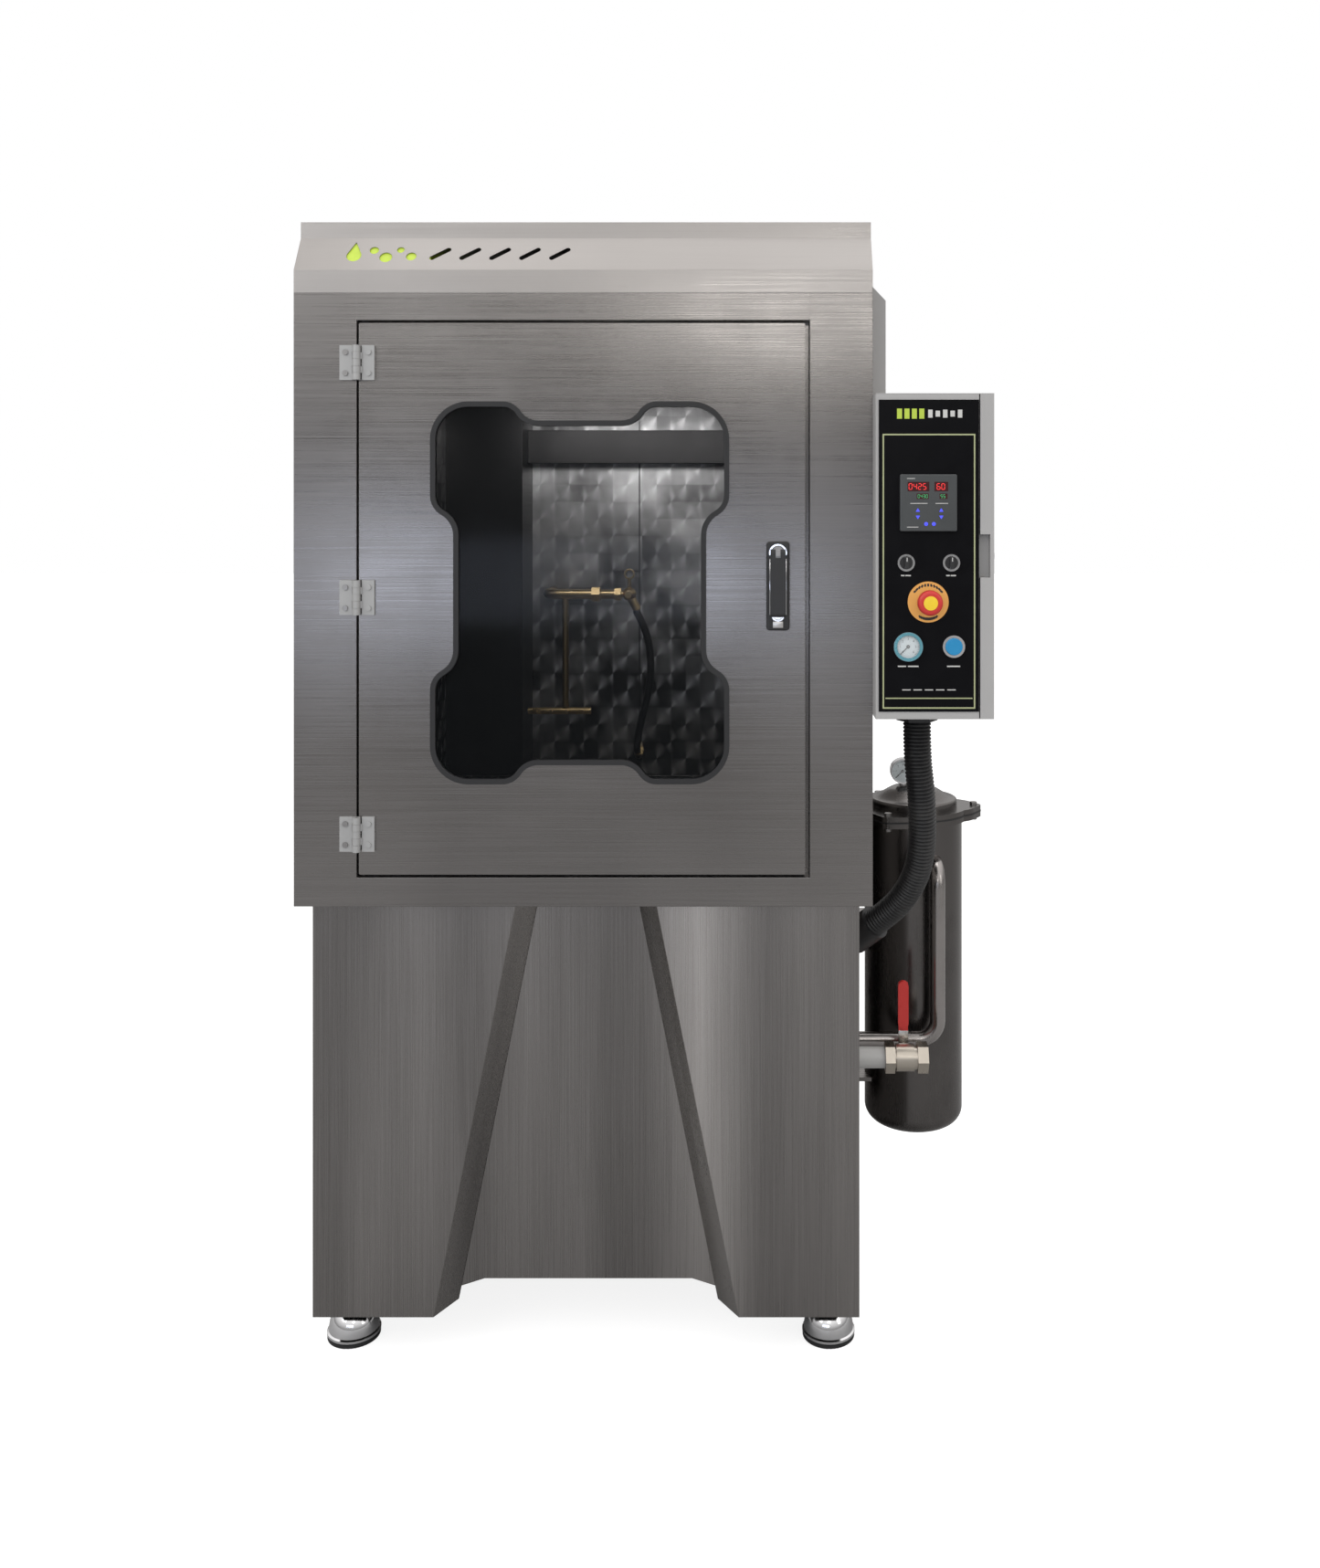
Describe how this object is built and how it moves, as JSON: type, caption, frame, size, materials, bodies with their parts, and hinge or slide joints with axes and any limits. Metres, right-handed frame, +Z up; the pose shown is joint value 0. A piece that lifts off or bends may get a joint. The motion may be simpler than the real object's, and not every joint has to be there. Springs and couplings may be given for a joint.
{
  "type": "parts washer",
  "caption": "Stainless front-door parts washing cabinet on a sheet-metal stand, with a windowed door, side control box, reservoir, pump and filter vessel.",
  "frame": {"origin": "on the floor, under the middle of the whole machine's bounding box", "axes": "+Z up, -Y out of the door's front face, +X towards the control box and filter vessel"},
  "size_m": [1.2655, 0.8969, 2],
  "materials": {
    "stainless": "vertical brushed stainless steel sheet",
    "stainless_dark": "smooth stainless sheet inside the chamber, seen in shade",
    "circle_polished": "stainless sheet with overlapping circle-polished marks",
    "polished": "polished stainless steel",
    "chrome": "bright plated",
    "cast_hinge": "die-cast, satin",
    "rubber": "black rubber",
    "window": "tinted safety glass",
    "black_plastic": "black moulded plastic",
    "hose_black": "black corrugated conduit",
    "grey_paint": "light grey powder coat",
    "overlay": "black front foil with a thin green border",
    "lime": "lime acrylic",
    "red": "red plastic",
    "blue": "blue push cap",
    "brass": "brass and nickelled brass fittings",
    "nickel": "nickelled brass valve",
    "pump_paint": "blue machine paint",
    "needle": "black needle",
    "filter_media": "pleated filter media",
    "zinc": "zinc-plated fasteners"
  },
  "bodies": {
    "root": {"base_panel": "stainless", "cable_hose": "hose_black", "canopy_backlight": "lime", "canopy_fascia": "stainless", "chamber_liners": "stainless_dark", "chamber_sump": "stainless", "chamber_walls": "circle_polished", "control_box": "grey_paint", "control_overlay": "overlay", "controller": "black_plastic", "drain_pipe": "grey_paint", "fasteners": "zinc", "filter_bracket": "stainless", "filter_cartridge": "filter_media", "filter_gasket": "rubber", "filter_lid": "polished", "filter_vessel": "polished", "foot_pads": "rubber", "front_frame": "stainless", "gauge_cases": "chrome", "heater_element": "polished", "hinge_frame_leaves": "cast_hinge", "hose_glands": "black_plastic", "leg_covers": "stainless", "leveling_feet": "chrome", "panel_bezels": "chrome", "parts_grate": "stainless", "pump_motor": "pump_paint", "pump_volute": "polished", "rear_panels": "stainless", "reservoir_tank": "stainless", "roof_panel": "stainless", "side_duct": "grey_paint", "side_panels": "stainless", "spray_manifold": "brass", "stand_centre_panel": "stainless", "stand_frame": "stainless", "valve_body": "nickel", "wash_hose": "hose_black", "water_pipes": "polished"},
    "door": {"door_shell": "stainless", "door_inner_pan": "stainless", "door_glass": "window", "door_gaskets": "rubber", "hinge_door_leaves": "cast_hinge", "latch_housing": "black_plastic"},
    "latch_spindle": {"latch_spindle": "zinc"},
    "latch_lever": {"latch_lever": "black_plastic"},
    "lock_barrel": {"lock_barrel": "chrome"},
    "valve_lever": {"valve_lever": "red"},
    "box_door": {"box_door": "grey_paint"},
    "box_latch": {"box_latch": "black_plastic"},
    "selector_left": {"selector_knob_left": "black_plastic"},
    "selector_right": {"selector_knob_right": "black_plastic"},
    "estop_stem": {"estop_stem": "black_plastic"},
    "estop_head": {"estop_head": "red"},
    "start_button": {"start_button": "blue"},
    "panel_needle": {"gauge_pointer": "needle"},
    "filter_needle": {"filter_gauge_pointer": "needle"},
    "pump_rotor": {"pump_rotor": "zinc"}
  },
  "joints": [
    {"name": "door_swing", "type": "hinge", "parent": "root", "child": "door", "pos_m": [-0.522, -0.361, 1.3415], "axis": [0, 0, -1], "range_deg": [0, 120]},
    {"name": "latch_turn", "type": "hinge", "parent": "door", "child": "latch_spindle", "pos_m": [0.2035, -0.353, 1.4215], "axis": [0, 1, 0], "range_deg": [0, 90]},
    {"name": "latch_lift", "type": "hinge", "parent": "latch_spindle", "child": "latch_lever", "pos_m": [0.2035, -0.375, 1.4215], "axis": [-1, 0, 0], "range_deg": [0, 35]},
    {"name": "lock_turn", "type": "hinge", "parent": "door", "child": "lock_barrel", "pos_m": [0.2035, -0.353, 1.3145], "axis": [0, 1, 0], "range_deg": [0, 90]},
    {"name": "valve_turn", "type": "hinge", "parent": "root", "child": "valve_lever", "pos_m": [0.4505, -0.078, 0.454], "axis": [0, 1, 0], "range_deg": [0, 90]},
    {"name": "box_door_swing", "type": "hinge", "parent": "root", "child": "box_door", "pos_m": [0.5435, -0.043, 1.417], "axis": [0, 0, 1], "range_deg": [0, 120]},
    {"name": "box_latch_turn", "type": "hinge", "parent": "box_door", "child": "box_latch", "pos_m": [0.5575, -0.379, 1.417], "axis": [1, 0, 0], "range_deg": [0, 90]},
    {"name": "selector_left_turn", "type": "hinge", "parent": "root", "child": "selector_left", "pos_m": [0.4185, -0.4105, 1.406], "axis": [0, 1, 0], "range_deg": [-45, 45]},
    {"name": "selector_right_turn", "type": "hinge", "parent": "root", "child": "selector_right", "pos_m": [0.4945, -0.4105, 1.406], "axis": [0, 1, 0], "range_deg": [-45, 45]},
    {"name": "estop_push", "type": "slide", "parent": "root", "child": "estop_stem", "axis": [0, 1, 0], "range_m": [0, 0.004]},
    {"name": "estop_twist", "type": "hinge", "parent": "estop_stem", "child": "estop_head", "pos_m": [0.4555, -0.429, 1.34], "axis": [0, 1, 0], "range_deg": [0, 30]},
    {"name": "start_push", "type": "slide", "parent": "root", "child": "start_button", "axis": [0, 1, 0], "range_m": [0, 0.003], "stiffness_N_per_m": 600},
    {"name": "panel_gauge_turn", "type": "hinge", "parent": "root", "child": "panel_needle", "pos_m": [0.4215, -0.414, 1.265], "axis": [0, 1, 0], "range_deg": [0, 270]},
    {"name": "filter_gauge_turn", "type": "hinge", "parent": "root", "child": "filter_needle", "pos_m": [0.4705, 0.113, 0.9557], "axis": [0, 1, 0], "range_deg": [0, 270]},
    {"name": "pump_spin", "type": "hinge", "parent": "root", "child": "pump_rotor", "pos_m": [0.2175, 0.047, 0.27], "axis": [0, 1, 0], "continuous": true}
  ]
}
